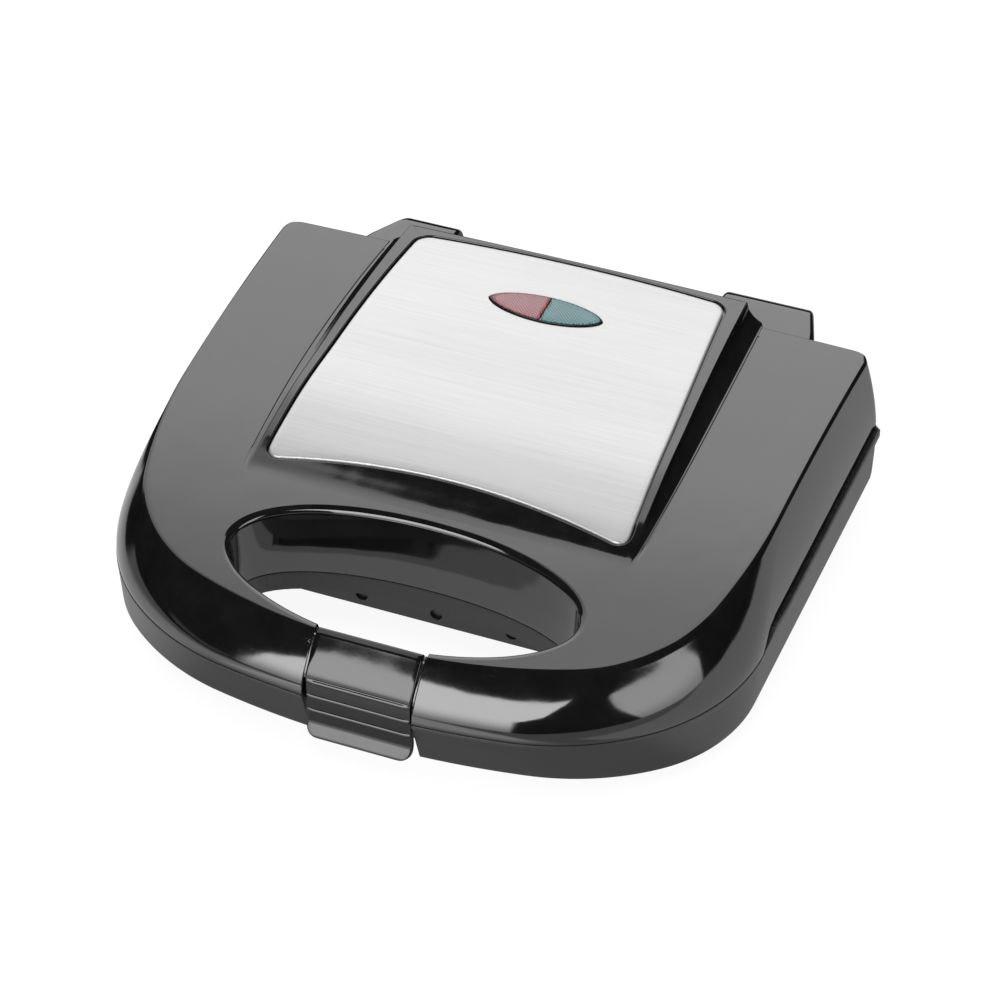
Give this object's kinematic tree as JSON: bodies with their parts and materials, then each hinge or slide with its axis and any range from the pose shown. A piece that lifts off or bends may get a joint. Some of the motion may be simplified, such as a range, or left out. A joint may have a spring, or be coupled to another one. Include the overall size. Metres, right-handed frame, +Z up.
{
  "type": "sandwich toaster",
  "caption": "Closed sandwich toaster with a hinged lid, brushed steel top panel, twin lamp lens, through handle, front latch, and non-stick plates with triangular pockets.",
  "frame": {"origin": "on the table under the centre of the closed toaster's bounding box", "axes": "+X to the user's right, +Y from the handle to the hinge, +Z up"},
  "size_m": [0.2304, 0.2282, 0.0666],
  "materials": {
    "black_gloss": "high gloss black moulding",
    "black_matte": "satin black moulding",
    "black_inner": "matt black moulding",
    "nonstick": "dark non-stick coating on cast aluminium",
    "heater_steel": "dull steel tube",
    "reflector_alu": "bare aluminised sheet",
    "ceramic": "off-white ceramic",
    "rubber": "black rubber",
    "steel_hardware": "zinc-plated steel",
    "brushed_panel": "stainless steel brushed along X",
    "lens_red": "clear red plastic with a prismatic back",
    "lens_green": "clear green plastic with a prismatic back",
    "neon_glass": "clear glass lamp"
  },
  "bodies": {
    "base": {"base_shell": "black_matte", "bottom_cover": "black_inner", "plate_lower": "nonstick", "heater_lower": "heater_steel", "reflector_lower": "reflector_alu", "thermostat_lower": "ceramic", "thermal_fuse": "ceramic", "terminal_block": "ceramic", "cord_grommet": "rubber", "foot_fl": "rubber", "foot_fr": "rubber", "foot_rl": "rubber", "foot_rr": "rubber", "base_screw_fl": "steel_hardware", "base_screw_fr": "steel_hardware", "base_screw_rl": "steel_hardware", "base_screw_rr": "steel_hardware"},
    "lid": {"lid_shell": "black_gloss", "lid_frame": "black_inner", "top_panel": "brushed_panel", "plate_upper": "nonstick", "heater_upper": "heater_steel", "reflector_upper": "reflector_alu", "thermostat_upper": "ceramic", "lens_red": "lens_red", "lens_green": "lens_green", "lamp_holder": "ceramic", "neon_red": "neon_glass", "neon_green": "neon_glass", "hinge_pin_left": "steel_hardware", "hinge_pin_right": "steel_hardware", "lid_screw_fl": "steel_hardware", "lid_screw_fr": "steel_hardware", "lid_screw_rl": "steel_hardware", "lid_screw_rr": "steel_hardware", "latch_pin": "steel_hardware"},
    "latch": {"latch": "black_gloss"}
  },
  "joints": [
    {"name": "lid_hinge", "type": "hinge", "parent": "base", "child": "lid", "pos_m": [0, 0.0913, 0.035], "axis": [-1, 0, 0], "range_deg": [0, 100]},
    {"name": "latch_pivot", "type": "hinge", "parent": "lid", "child": "latch", "pos_m": [0, -0.1001, 0.0335], "axis": [-1, 0, 0], "range_deg": [0, 35]}
  ]
}
